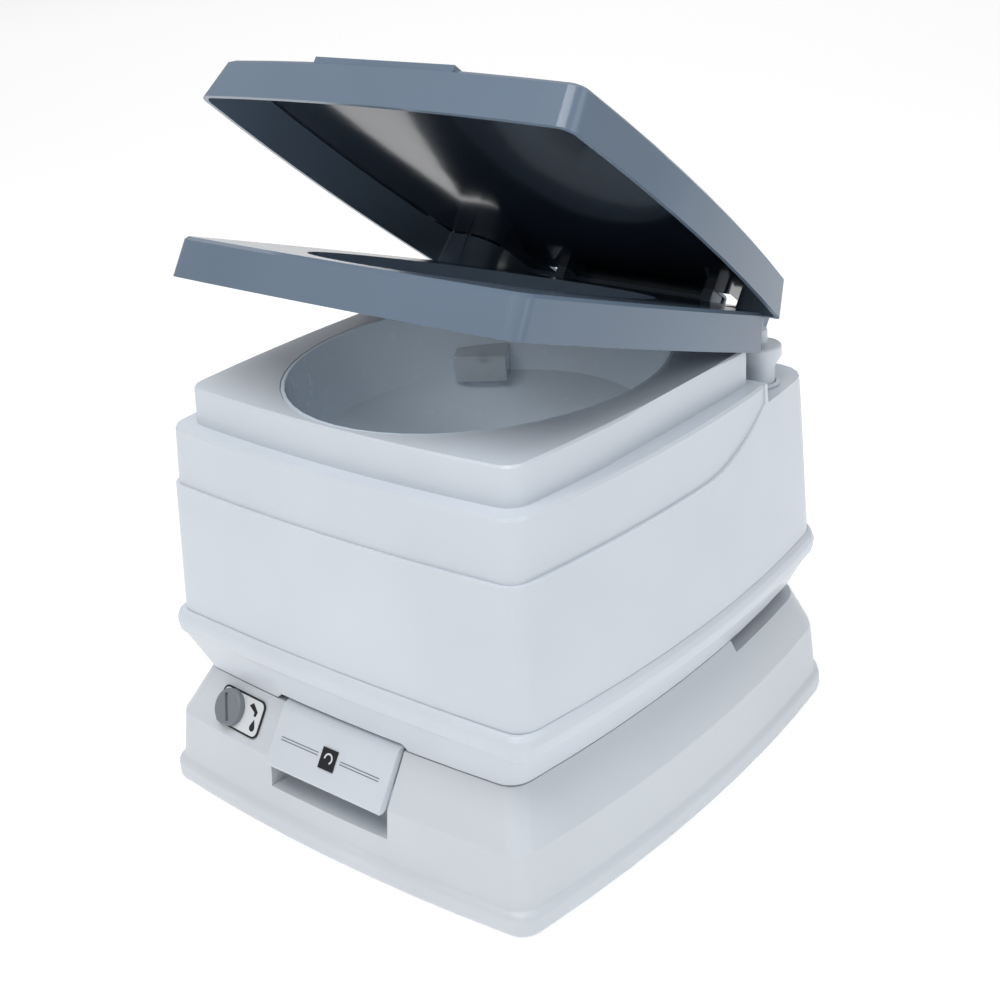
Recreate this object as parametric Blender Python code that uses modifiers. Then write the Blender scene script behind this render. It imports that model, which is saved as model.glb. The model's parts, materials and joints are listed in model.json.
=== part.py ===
"""Portable camp toilet: waste tank, water tank with bowl and pump, seat and lid.

Metres, +Z up, front towards -Y. The origin is the centre of the foot outline on the floor.
The seat and the lid are modelled closed and then raised about their hinge axis.
"""
import math

import bmesh
import bpy
from mathutils import Matrix, Vector

MM = 0.001
GAP = 0.3 * MM                      # clearance between pieces that touch

# Heights of the main levels
CREASE_Z = 51 * MM
WASTE_TOP_Z = 82.8 * MM
SKIRT_Z = 84 * MM
FLANGE_Z = 110.3 * MM
TANK_BOTTOM_Z = 126.8 * MM
SEAM_Z = 216.3 * MM
SHOULDER_Z = 242 * MM
LEDGE_Z = 255 * MM
DECK_Z = 279.4 * MM

# Plan outline of each level: half width, front, rear, front bow, side bow
FOOT = (157.2 * MM, -199.4 * MM, 163 * MM, 9 * MM, 14.5 * MM)
CREASE = (150.2 * MM, -191.7 * MM, 160 * MM, 8 * MM, 15.5 * MM)
SHOULDER_TOP = (134.2 * MM, -173.7 * MM, 152 * MM, 6.1 * MM, 13.4 * MM)
FLANGE = (150.5 * MM, -185 * MM, 158 * MM, 3.5 * MM, 15 * MM)
BODY_LOW = (147.3 * MM, -179.6 * MM, 155 * MM, 4.5 * MM, 15.3 * MM)
BODY_HIGH = (144.6 * MM, -173.6 * MM, 150 * MM, 6.2 * MM, 13 * MM)
BODY_EDGE = (143 * MM, -170 * MM, 147.5 * MM, 7.2 * MM, 12.4 * MM)
LEDGE = (142.4 * MM, -168.8 * MM, 147 * MM, 7.6 * MM, 12.3 * MM)
PLATFORM_LOW = (134.6 * MM, -158 * MM, 150 * MM, 7 * MM, 9.7 * MM)
PLATFORM_TOP = (133.3 * MM, -156.2 * MM, 150 * MM, 6.9 * MM, 9.2 * MM)
REAR_BOW = 6 * MM
FRONT_CORNER = 11 * MM
REAR_CORNER = 20 * MM

WALL = 2.5 * MM
WASTE_WALL = 3 * MM
BAND_STEP = 2 * MM                  # the lower body stands proud of the band above the seam

# Platform, its narrow rear part and the shoulder behind it
PLATFORM_REAR = 82 * MM
REAR_PLATFORM_HALF = 99.5 * MM
REAR_PLATFORM_END = 124 * MM
HINGE_WELL = (108.3 * MM, 123.5 * MM, 228.5 * MM)   # half width, front and floor
SEAM_RISE_START = 0.0
SEAM_RISE_END = 78 * MM
SEAM_RISE_POWER = 1.9

# Bowl ovals from the rim down to the outlet: half width, half length, centre y
BOWL_RIM = (120.7 * MM, 136.7 * MM, -23 * MM)
BOWL_CREASE = (108.3 * MM, 122.3 * MM, -28 * MM)
BOWL_CREASE_Z = 231.5 * MM
BOWL_DISH = (88 * MM, 96 * MM, -30 * MM)
BOWL_DISH_Z = 221 * MM
BOWL_CONE = (62 * MM, 66 * MM, -27 * MM)
BOWL_CONE_Z = 204 * MM
BOWL_THROAT_Z = 176 * MM
BOWL_WALL = 2.4 * MM
OUTLET_Y = -20 * MM
OUTLET_RADIUS = 46.5 * MM
SEAT_HOLE = (106 * MM, 120 * MM, -27 * MM)

# Flush inlet on the rear left of the bowl wall, behind its deflector
INLET = (-59 * MM, 43.5 * MM, 240.5 * MM)
INLET_TURN = math.radians(33.3)

# Hinge of seat and lid
HINGE_Y = 138 * MM
HINGE_Z = 262 * MM
LID_ARM_X = (60 * MM, 68 * MM)
LUG_X = (70 * MM, 78 * MM)
SEAT_ARM_X = (80 * MM, 86 * MM)
ARM_FRONT, ARM_REAR = 6 * MM, 8 * MM
LUG_RADIUS = 7 * MM
SEAT_ANGLE = math.radians(18)
LID_ANGLE = math.radians(37.7)
PIN_RADIUS = 3 * MM
PIN_HOLE = 3.25 * MM

SEAT_Z = (256.5 * MM, 282 * MM)
SEAT_LOW = (138.4 * MM, -167.5 * MM, 90 * MM, 6.5 * MM, 8.5 * MM)
SEAT_HIGH = (137.2 * MM, -161.8 * MM, 88 * MM, 6.5 * MM, 8.5 * MM)
SEAT_TAIL_HALF = 102.5 * MM
SEAT_TAIL_END = 146.8 * MM
LID_Z = (264 * MM, 292 * MM)
LID_LOW = (144.3 * MM, -171.2 * MM, 93 * MM, 6.5 * MM, 8.8 * MM)
LID_HIGH = (138.6 * MM, -166.8 * MM, 91.5 * MM, 6.5 * MM, 8.8 * MM)
LID_TAIL_HALF = 107.5 * MM
LID_TAIL_END = 151.5 * MM
COVER_WALL = 2.2 * MM
COVER_BOW = 1 * MM
COVER_CORNER = 9 * MM
COVER_SPREAD = 3.8 * MM             # the covers are this much wider at the rear, each side
LID_PAD_HALF = 54 * MM
LID_PAD_HEIGHT = 2.2 * MM
NOTCH_RADIUS = 18 * MM              # the covers curve round the pump and the filler

# Pump and filler on the rear shoulder
PUMP_X, PUMP_Y = 128 * MM, 110 * MM
FILLER_X, FILLER_Y = -128 * MM, 110 * MM

# Slide valve
MOUTH_RADIUS = 44 * MM
BLADE_Z = (84.2 * MM, 87 * MM)
BLADE_HALF = 52 * MM
HANDLE_HALF = 50.5 * MM
HANDLE_ROOT_Y = -150 * MM
WELL_Z = 79 * MM

# Pour spout
SPOUT_X, SPOUT_Y = -95 * MM, 122 * MM
SPOUT_WELL_Z = 53 * MM
SPOUT_AXIS_Z = 70 * MM
SPOUT_RADIUS = 12 * MM
SPOUT_END_X = 8 * MM

# Vent plug on the front left shoulder
VENT_X = -98.5 * MM
VENT_Z = 67 * MM

for old in list(bpy.data.objects):
    bpy.data.objects.remove(old, do_unlink=True)

PIECES = bpy.data.collections.new("portable_camp_toilet")
CUTTERS = bpy.data.collections.new("cutters")
bpy.context.scene.collection.children.link(PIECES)
bpy.context.scene.collection.children.link(CUTTERS)


def plastic(name, colour, roughness, metallic=0.0):
    """One Principled material, made once and shared by name."""
    material = bpy.data.materials.get(name) or bpy.data.materials.new(name)
    material.use_nodes = True
    shader = material.node_tree.nodes["Principled BSDF"]
    shader.inputs["Base Color"].default_value = (*colour, 1.0)
    shader.inputs["Roughness"].default_value = roughness
    shader.inputs["Metallic"].default_value = metallic
    return material


WHITE = plastic("white_gloss", (0.78, 0.83, 0.88), 0.25)
WHITE_MATTE = plastic("white_satin", (0.74, 0.78, 0.82), 0.45)
BOWL_BLUE = plastic("bowl_white", (0.62, 0.70, 0.82), 0.25)
SLATE = plastic("slate_blue", (0.16, 0.23, 0.34), 0.22)
GREY = plastic("mid_grey", (0.24, 0.25, 0.27), 0.5)
CLEAR = plastic("clear_grey", (0.60, 0.66, 0.72), 0.1)
BLACK = plastic("black_print", (0.02, 0.02, 0.025), 0.5)
RUBBER = plastic("seal_rubber", (0.03, 0.03, 0.03), 0.8)
NATURAL = plastic("natural_plastic", (0.66, 0.68, 0.68), 0.5)


def place(obj, material=None, collection=PIECES):
    """Moves an object to a collection and gives it its material."""
    for owner in list(obj.users_collection):
        owner.objects.unlink(obj)
    collection.objects.link(obj)
    if material is not None:
        obj.data.materials.clear()
        obj.data.materials.append(material)
    if collection is CUTTERS:
        obj.hide_render = True
        obj.display_type = 'WIRE'
    return obj


def boolean(target, tool, operation):
    """Adds a Boolean modifier; the tool goes to the cutters."""
    place(tool, None, CUTTERS)
    modifier = target.modifiers.new(operation.lower() + "_" + tool.name, 'BOOLEAN')
    modifier.operation = operation
    modifier.object = tool
    return target


def cut(target, *tools):
    for tool in tools:
        boolean(target, tool, 'DIFFERENCE')
    return target


def join(target, *tools):
    for tool in tools:
        boolean(target, tool, 'UNION')
    return target


def mesh_from(name, build, material=None, collection=PIECES):
    """Runs build(bm) on a new bmesh and wraps the result in an object."""
    bm = bmesh.new()
    build(bm)
    bmesh.ops.recalc_face_normals(bm, faces=bm.faces)
    mesh = bpy.data.meshes.new(name)
    bm.to_mesh(mesh)
    bm.free()
    obj = bpy.data.objects.new(name, mesh)
    bpy.context.scene.collection.objects.link(obj)
    return place(obj, material, collection)


def box(name, low, high, material=None, collection=PIECES, bevel=0.0):
    def build(bm):
        bmesh.ops.create_cube(bm, size=1)
        size = [h - l for l, h in zip(low, high)]
        centre = [(h + l) / 2 for l, h in zip(low, high)]
        bmesh.ops.scale(bm, vec=size, verts=bm.verts)
        bmesh.ops.translate(bm, vec=centre, verts=bm.verts)
    obj = mesh_from(name, build, material, collection)
    if bevel:
        edge = obj.modifiers.new("edge", 'BEVEL')
        edge.width = bevel
        edge.segments = 2
    return obj


def turned(name, profile, centre, material=None, collection=PIECES, steps=40):
    """Solid of revolution about Z; the (radius, z) profile runs down its outer side."""
    closed = profile[0][0] > 0
    edges = [(i, i + 1) for i in range(len(profile) - 1)]
    if closed:
        edges.append((len(profile) - 1, 0))
    mesh = bpy.data.meshes.new(name)
    mesh.from_pydata([(radius, 0, z) for radius, z in profile], edges, [])
    obj = bpy.data.objects.new(name, mesh)
    bpy.context.scene.collection.objects.link(obj)
    screw = obj.modifiers.new("turn", 'SCREW')
    screw.steps = steps
    screw.render_steps = steps
    screw.use_merge_vertices = True
    screw.merge_threshold = 0.00001
    obj.location = centre
    return place(obj, material, collection)


def cylinder(name, radius, low, high, x, y, collection=CUTTERS, material=None, steps=40):
    return turned(name, [(0, high), (radius, high), (radius, low), (0, low)], (x, y, 0),
                  material, collection, steps)


def ring(name, inner, outer, low, high, x, y, material, steps=40):
    return turned(name, [(inner, high), (outer, high), (outer, low), (inner, low)], (x, y, 0),
                  material, steps=steps)


def prism(name, outline, low, high, material=None, collection=PIECES):
    """Outline of (y, z) points extruded along X from low to high."""
    def build(bm):
        face = bm.faces.new([bm.verts.new((low, y, z)) for y, z in outline])
        extruded = bmesh.ops.extrude_face_region(bm, geom=[face])
        moved = [v for v in extruded["geom"] if isinstance(v, bmesh.types.BMVert)]
        bmesh.ops.translate(bm, vec=(high - low, 0, 0), verts=moved)
    return mesh_from(name, build, material, collection)


def bowed_outline(level, inset=0.0, front_corner=FRONT_CORNER, rear_corner=REAR_CORNER,
                  rear_bow=REAR_BOW, rear_spread=0.0, side_steps=8, corner_steps=4):
    """Rounded rectangle whose four sides bulge outwards as parabolas, as a list of (x, y)."""
    half, front, rear, front_bow, side_bow = level
    half, front, rear = half - inset, front + inset, rear - inset
    rear_half = half + rear_spread
    corners = [Vector((-half, front)), Vector((half, front)),
               Vector((rear_half, rear)), Vector((-rear_half, rear))]
    bows = [(Vector((0, -1)), front_bow), (Vector((1, 0)), side_bow),
            (Vector((0, 1)), rear_bow), (Vector((-1, 0)), side_bow)]
    radii = [max(r - inset, 2 * MM) for r in (front_corner, front_corner, rear_corner, rear_corner)]

    def on_side(i, t):
        outward, bow = bows[i]
        return corners[i].lerp(corners[(i + 1) % 4], t) + outward * (4 * bow * t * (1 - t))

    points = []
    for i in range(4):
        length = (corners[(i + 1) % 4] - corners[i]).length
        start, end = radii[i] / length, 1 - radii[(i + 1) % 4] / length
        points += [on_side(i, start + (end - start) * k / side_steps) for k in range(side_steps + 1)]
        after = (i + 1) % 4
        after_length = (corners[(after + 1) % 4] - corners[after]).length
        leave, arrive = on_side(i, end), on_side(after, radii[after] / after_length)
        for k in range(1, corner_steps):
            t = k / corner_steps
            weight = math.sqrt(0.5) * 2 * t * (1 - t)
            total = (1 - t) ** 2 + weight + t ** 2
            points.append((leave * (1 - t) ** 2 + corners[after] * weight + arrive * t ** 2) / total)
    return [(p.x, p.y) for p in points]


def oval(shape, inset=0.0, steps=48):
    """Ellipse of a half width, a half length and a centre y, as a list of (x, y)."""
    half, length, centre = shape
    turns = [2 * math.pi * i / steps for i in range(steps)]
    return [((half - inset) * math.cos(t), centre + (length - inset) * math.sin(t)) for t in turns]


def loft(name, rings, material=None, collection=CUTTERS):
    """Closed solid through a stack of (outline, z) rings with equal point counts."""
    def build(bm):
        levels = [[bm.verts.new((x, y, z)) for x, y in outline] for outline, z in rings]
        for lower, upper in zip(levels, levels[1:]):
            for i in range(len(lower)):
                j = (i + 1) % len(lower)
                bm.faces.new((lower[i], lower[j], upper[j], upper[i]))
        bm.faces.new(levels[0][::-1])
        bm.faces.new(levels[-1])
    return mesh_from(name, build, material, collection)


def swept_rod(name, path, radius, material=None, collection=PIECES, sides=16):
    """Round rod through the path's points, as a curve turned into a mesh."""
    curve = bpy.data.curves.new(name, 'CURVE')
    curve.dimensions = '3D'
    curve.bevel_depth = radius
    curve.bevel_resolution = sides // 4 - 2
    curve.use_fill_caps = True
    spline = curve.splines.new('POLY')
    spline.points.add(len(path) - 1)
    for point, where in zip(spline.points, path):
        point.co = (*where, 1)
    guide = bpy.data.objects.new(name + "_guide", curve)
    bpy.context.scene.collection.objects.link(guide)
    bpy.context.view_layer.update()
    evaluated = guide.evaluated_get(bpy.context.evaluated_depsgraph_get())
    mesh = bpy.data.meshes.new_from_object(evaluated)
    bm = bmesh.new()
    bm.from_mesh(mesh)
    bmesh.ops.remove_doubles(bm, verts=bm.verts, dist=1e-6)
    bmesh.ops.recalc_face_normals(bm, faces=bm.faces)
    bm.to_mesh(mesh)
    bm.free()
    bpy.data.objects.remove(guide, do_unlink=True)
    mesh.name = name
    obj = bpy.data.objects.new(name, mesh)
    bpy.context.scene.collection.objects.link(obj)
    return place(obj, material, collection)


def smooth_path(points, steps=4):
    """Catmull-Rom curve through hand-placed points."""
    knots = [Vector(p) for p in points]
    padded = [2 * knots[0] - knots[1]] + knots + [2 * knots[-1] - knots[-2]]
    path = []
    for a, b, c, d in zip(padded, padded[1:], padded[2:], padded[3:]):
        for k in range(steps):
            t = k / steps
            path.append(0.5 * (2 * b + (c - a) * t + (2 * a - 5 * b + 4 * c - d) * t * t
                               + (3 * b - a - 3 * c + d) * t ** 3))
    return path + [knots[-1]]


def rounded_rings(level, low, high, top_level, edge, inset=0.0, **corner):
    """Rings of a drafted wall between two levels, with a chamfered top edge."""
    near_top = tuple(a + (b - a) * (1 - edge / (high - low)) for a, b in zip(level, top_level))
    return [(bowed_outline(level, inset, **corner), low),
            (bowed_outline(near_top, inset, **corner), high - edge),
            (bowed_outline(top_level, inset + edge, **corner), high)]


# ---------------------------------------------------------------- waste tank

def handle_pocket(name, grow, half, collection=CUTTERS):
    """Finger recess under the pull handle, with the handle's own seat above it."""
    outline = [(-0.240, 0.095), (-0.160 + grow, 0.095), (-0.160 + grow, 0.0835 - grow),
               (-0.172 + grow, 0.078 - grow), (-0.184 + grow, 0.058), (-0.182 + grow, 0.034),
               (-0.186 + grow, 0.031 - grow), (-0.240, 0.031 - grow)]
    return prism(name, outline, -half, half, None, collection)


def slope_frame():
    """Place and outward direction of the vent on the front left shoulder."""
    t = (WASTE_TOP_Z - VENT_Z) / (WASTE_TOP_Z - CREASE_Z)
    top, low = SHOULDER_TOP, CREASE

    def front(level, x):
        return level[1] - level[3] * (1 - (x / level[0]) ** 2)

    y = front(top, VENT_X) * (1 - t) + front(low, VENT_X) * t
    slope = math.atan2(front(top, VENT_X) - front(low, VENT_X), WASTE_TOP_Z - CREASE_Z)
    turn = math.atan2(2 * 7 * MM * VENT_X, ((top[0] + low[0]) / 2) ** 2)
    frame = Matrix.Translation((VENT_X, y, VENT_Z)) @ Matrix.Rotation(turn, 4, 'Z')
    return frame @ Matrix.Rotation(math.pi / 2 - slope, 4, 'X')


def waste_tank_form(name, inset, low, high):
    corner = {"rear_corner": 26 * MM}
    above = (153.8 * MM, -195.6 * MM, 161 * MM, 8.5 * MM, 15 * MM)
    rings = [(bowed_outline(FOOT, inset + 1.5 * MM, **corner), low)]
    if inset == 0:
        rings += [(bowed_outline(FOOT, 0, **corner), 2 * MM),
                  (bowed_outline(FOOT, 0, **corner), 11.5 * MM),
                  (bowed_outline(FOOT, 1.2 * MM, **corner), 14 * MM)]
    rings += [(bowed_outline(above, inset, **corner), 16.5 * MM),
              (bowed_outline(CREASE, inset, **corner), CREASE_Z - inset / 3),
              (bowed_outline(SHOULDER_TOP, inset, **corner), high)]
    return loft(name, rings)


def spout_well(name, grow):
    return box(name, (-0.122 - grow, 0.100 - grow, SPOUT_WELL_Z - grow),
               (0.034 + grow, 0.220, 0.100), collection=CUTTERS)


def make_waste_tank():
    tank = waste_tank_form("waste_tank", 0, 0, WASTE_TOP_Z)
    place(tank, WHITE_MATTE, PIECES)
    tank.hide_render = False
    tank.display_type = 'TEXTURED'
    cavity = waste_tank_form("waste_cavity", WASTE_WALL, WASTE_WALL, WASTE_TOP_Z - WASTE_WALL)
    valve_well = box("valve_well_wall", (-0.068, -0.090, WELL_Z - WASTE_WALL), (0.068, 0.052, 0.1),
                     collection=CUTTERS)
    cut(cavity, handle_pocket("pocket_wall", WASTE_WALL, 51.5 * MM + WASTE_WALL),
        spout_well("spout_well_wall", WASTE_WALL), valve_well)
    for side in (-1, 1):
        low, high = sorted((side * 0.125, side * 0.2))
        cut(cavity, box("grip_wall_%d" % side, (low - 0.003, 0.041, 0.072), (high + 0.003, 0.2, 0.1),
                        collection=CUTTERS))
        cut(tank, box("grip_%d" % side, (low, 0.044, 0.075), (high, 0.2, 0.1), collection=CUTTERS))
    cut(tank, cavity, handle_pocket("pocket", 0, 51.5 * MM), spout_well("spout_well", 0),
        box("valve_well", (-0.065, -0.087, WELL_Z), (0.065, 0.049, 0.1), collection=CUTTERS),
        cylinder("mouth", MOUTH_RADIUS, 0.05, 0.1, 0, OUTLET_Y),
        cylinder("spout_hole", 14.6 * MM, 0.045, 0.06, SPOUT_X, SPOUT_Y, steps=24))
    vent_hole = cylinder("vent_hole", 10.4 * MM, -0.012, 0.01, 0, 0, steps=24)
    vent_hole.matrix_world = slope_frame()
    cut(tank, vent_hole)
    return tank


def make_vent():
    frame = slope_frame()
    plug = turned("vent_plug", [(0, 6.2 * MM), (11.4 * MM, 6.2 * MM), (12.6 * MM, 5 * MM),
                                (12.6 * MM, 1.2 * MM), (8.6 * MM, 1.2 * MM), (8.6 * MM, -9 * MM),
                                (0, -9 * MM)], (0, 0, 0), GREY, steps=40)
    slot = box("coin_slot", (-1.4 * MM, -9.5 * MM, 3.8 * MM), (1.4 * MM, 9.5 * MM, 8 * MM),
               collection=CUTTERS)
    slot.matrix_world = frame @ Matrix.Rotation(math.radians(28), 4, 'Z')
    plug.matrix_world = frame
    cut(plug, slot)
    seal = ring("vent_seal", 8.9 * MM, 10.1 * MM, -2.6 * MM, -0.4 * MM, 0, 0, RUBBER, steps=32)
    seal.matrix_world = frame

    def outline(bm):
        half, tall, radius, steps = 22 * MM, 13 * MM, 5 * MM, 4
        centre_x = 8.5 * MM
        points = []
        for k, (sx, sy) in enumerate(((1, -1), (1, 1), (-1, 1), (-1, -1))):
            for s in range(steps + 1):
                angle = math.pi / 2 * (k - 1 + s / steps)
                points.append((centre_x + sx * (half - radius) + radius * math.cos(angle),
                               sy * (tall - radius) + radius * math.sin(angle)))
        face = bm.faces.new([bm.verts.new((x, y, 0.3 * MM)) for x, y in points])
        extruded = bmesh.ops.extrude_face_region(bm, geom=[face])
        moved = [v for v in extruded["geom"] if isinstance(v, bmesh.types.BMVert)]
        bmesh.ops.translate(bm, vec=(0, 0, 0.5 * MM), verts=moved)

    decal = mesh_from("vent_decal", outline, BLACK)
    decal.matrix_world = frame
    hole = cylinder("decal_hole", 10.6 * MM, -0.01, 0.01, 0, 0, steps=24)
    hole.matrix_world = frame
    cut(decal, hole)


def make_slide_valve():
    frame = box("valve_frame", (-0.062, -0.084, WELL_Z + 1.8 * MM), (0.062, 0.046, 0.091), NATURAL)
    cut(frame, box("blade_slot", (-BLADE_HALF - 0.4 * MM, -0.09, BLADE_Z[0] - GAP),
                   (BLADE_HALF + 0.4 * MM, 0.036, BLADE_Z[1] + GAP), collection=CUTTERS),
        cylinder("frame_hole", MOUTH_RADIUS, 0.07, 0.1, 0, OUTLET_Y))
    ring("mouth_gasket", 45 * MM, 51 * MM, WELL_Z + GAP, WELL_Z + 1.5 * MM, 0, OUTLET_Y, RUBBER)
    ring("valve_lip_seal", 44.5 * MM, 50 * MM, 0.091 + GAP, 0.0947, 0, OUTLET_Y, RUBBER)
    box("valve_blade", (-BLADE_HALF, HANDLE_ROOT_Y + GAP, BLADE_Z[0]), (BLADE_HALF, 0.034, BLADE_Z[1]),
        NATURAL, bevel=0.6 * MM)
    outline = [(HANDLE_ROOT_Y, BLADE_Z[0]), (HANDLE_ROOT_Y, BLADE_Z[1]), (-0.1765, BLADE_Z[1]),
               (-0.1822, 0.0848), (-0.1850, 0.0815), (-0.2052, 0.0520), (-0.2046, 0.0500),
               (-0.2010, 0.0492), (-0.1985, 0.0508), (-0.1790, 0.0800), (-0.1762, BLADE_Z[0])]
    handle = prism("pull_handle", outline, -HANDLE_HALF, HANDLE_HALF, WHITE)
    edge = handle.modifiers.new("edge", 'BEVEL')
    edge.width = 0.7 * MM
    edge.segments = 2
    edge.limit_method = 'ANGLE'
    slope = math.atan2(0.2052 - 0.1850, 0.0815 - 0.0520)
    badge = box("handle_badge", (-6.5 * MM, -6.8 * MM, GAP), (6.5 * MM, 6.8 * MM, GAP + 0.4 * MM), BLACK)
    badge.matrix_world = (Matrix.Translation((0, -0.1951, 0.06675))
                          @ Matrix.Rotation(math.pi / 2 - slope, 4, 'X'))


def make_spout():
    start = SPOUT_AXIS_Z - 13 * MM
    path = [(SPOUT_X, SPOUT_Y, 0.040), (SPOUT_X, SPOUT_Y, start)]
    for k in range(1, 7):
        t = math.pi / 2 * k / 6
        path.append((SPOUT_X + 13 * MM * (1 - math.cos(t)), SPOUT_Y, start + 13 * MM * math.sin(t)))
    path.append((SPOUT_END_X, SPOUT_Y, SPOUT_AXIS_Z))
    spout = swept_rod("pour_spout", path, SPOUT_RADIUS, WHITE_MATTE, sides=24)
    bore = [(SPOUT_X, SPOUT_Y, 0.038)] + path[1:-1] + [(SPOUT_END_X + 0.002, SPOUT_Y, SPOUT_AXIS_Z)]
    cut(spout, swept_rod("spout_bore", bore, SPOUT_RADIUS - 2.4 * MM, None, CUTTERS, sides=24))
    ring("spout_collar", SPOUT_RADIUS + GAP, 17.5 * MM, SPOUT_WELL_Z + GAP, SPOUT_WELL_Z + 3.6 * MM,
         SPOUT_X, SPOUT_Y, NATURAL, steps=32)
    ring("spout_seal", SPOUT_RADIUS + GAP, 14.2 * MM, SPOUT_WELL_Z - 2.7 * MM, SPOUT_WELL_Z - GAP,
         SPOUT_X, SPOUT_Y, RUBBER, steps=32)
    across = Matrix.Translation((SPOUT_END_X, SPOUT_Y, SPOUT_AXIS_Z)) @ Matrix.Rotation(
        math.pi / 2, 4, 'Y')
    cap = cylinder("spout_cap", 13.6 * MM, -10 * MM, 6.2 * MM, 0, 0, PIECES, GREY, steps=32)
    hollow = cylinder("spout_cap_hollow", 12.4 * MM, -11 * MM, 4 * MM, 0, 0, steps=32)
    cap.matrix_world = across
    hollow.matrix_world = across
    cut(cap, hollow)
    seal = ring("spout_cap_seal", 9.8 * MM, 12 * MM, GAP, 3.6 * MM, 0, 0, RUBBER, steps=32)
    seal.matrix_world = across


# ---------------------------------------------------------------- water tank

def seam_cutter(name):
    """Everything above the seam line, which rises to the shoulder behind SEAM_RISE_START."""
    outline = [(-0.25, SEAM_Z), (SEAM_RISE_START, SEAM_Z)]
    for k in range(1, 9):
        t = k / 8
        outline.append((SEAM_RISE_START + (SEAM_RISE_END - SEAM_RISE_START) * t,
                        SEAM_Z + (SHOULDER_Z + 1 * MM - SEAM_Z) * t ** SEAM_RISE_POWER))
    outline += [(SEAM_RISE_END, 0.3), (-0.25, 0.3)]
    return prism(name, outline, -0.2, 0.2, None, CUTTERS)


def tank_form(name, inset):
    """Outer form of the water tank, or its cavity when inset by the wall."""
    bottom = TANK_BOTTOM_Z if inset == 0 else TANK_BOTTOM_Z - 0.02
    lower = loft(name, [(bowed_outline(BODY_LOW, inset), bottom),
                        (bowed_outline(BODY_HIGH, inset), SEAM_Z),
                        (bowed_outline(BODY_EDGE, inset), LEDGE_Z - inset)])
    if inset == 0:
        cut(lower, seam_cutter("seam_cutter"))
        band = loft(name + "_band", [(bowed_outline(BODY_LOW, WALL + 1 * MM), TANK_BOTTOM_Z + 0.05),
                                     (bowed_outline(BODY_HIGH, BAND_STEP), SEAM_Z - 2 * MM),
                                     (bowed_outline(LEDGE, 0), LEDGE_Z - 2 * MM),
                                     (bowed_outline(LEDGE, 1.2 * MM), LEDGE_Z)])
        join(lower, band)
    platform = loft(name + "_platform", [(bowed_outline(PLATFORM_LOW, inset), LEDGE_Z - 12 * MM),
                                         (bowed_outline(PLATFORM_TOP, inset), DECK_Z - 1.5 * MM - inset),
                                         (bowed_outline(PLATFORM_TOP, inset + 1.2 * MM), DECK_Z - inset)])
    end = bowed_outline((141 * MM - inset, -0.2, PLATFORM_REAR - inset, 0, 0), rear_corner=13 * MM,
                        rear_bow=0)
    boolean(platform, loft(name + "_platform_end", [(end, 0.2), (end, 0.3)]), 'INTERSECT')
    rear = box(name + "_rear_cut", (-0.2, PLATFORM_REAR - inset, SHOULDER_Z - inset), (0.2, 0.22, 0.32),
               collection=CUTTERS)
    middle = box(name + "_middle", (-REAR_PLATFORM_HALF + inset, PLATFORM_REAR - 0.02, SHOULDER_Z - 0.02),
                 (REAR_PLATFORM_HALF - inset, REAR_PLATFORM_END - inset, DECK_Z - inset),
                 collection=CUTTERS)
    half, front, floor = HINGE_WELL
    well = box(name + "_hinge_well", (-half - inset, front - inset, floor - inset),
               (half + inset, 0.22, 0.32), collection=CUTTERS)
    join(lower, platform)
    cut(lower, rear, well)
    join(lower, middle)
    return lower


def hinge_lug(name, side):
    """Upright lug in the hinge well, rounded over the hinge axis."""
    low, high = sorted((side * LUG_X[0], side * LUG_X[1]))
    foot = HINGE_WELL[2] - 1 * MM
    outline = [(HINGE_Y - LUG_RADIUS, foot)]
    for k in range(9):
        t = math.pi - math.pi * k / 8
        outline.append((HINGE_Y + LUG_RADIUS * math.cos(t), HINGE_Z + LUG_RADIUS * math.sin(t)))
    outline.append((HINGE_Y + LUG_RADIUS, foot))
    return prism(name, outline, low, high, None, CUTTERS)


def across_x(name, radius, low, high, material=None, collection=CUTTERS, steps=24):
    """Cylinder along X on the hinge axis."""
    obj = cylinder(name, radius, low, high, 0, 0, collection, material, steps)
    obj.matrix_world = Matrix.Translation((0, HINGE_Y, HINGE_Z)) @ Matrix.Rotation(math.pi / 2, 4, 'Y')
    return obj


def make_water_tank():
    tank = tank_form("water_tank", 0)
    place(tank, WHITE, PIECES)
    tank.hide_render = False
    tank.display_type = 'TEXTURED'
    cut(tank, tank_form("water_cavity", WALL))
    opening = loft("bowl_opening", [(oval(BOWL_RIM, -GAP), 0.25), (oval(BOWL_RIM, -GAP), 0.3)])
    cut(tank, opening)
    join(tank, hinge_lug("lug_left", -1), hinge_lug("lug_right", 1))
    cut(tank, across_x("lug_bore", PIN_HOLE, -0.12, 0.12),
        cylinder("pump_hole", 11.3 * MM, 0.23, 0.25, PUMP_X, PUMP_Y, steps=32),
        cylinder("filler_hole", 12 * MM, 0.23, 0.25, FILLER_X, FILLER_Y, steps=24))


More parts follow.
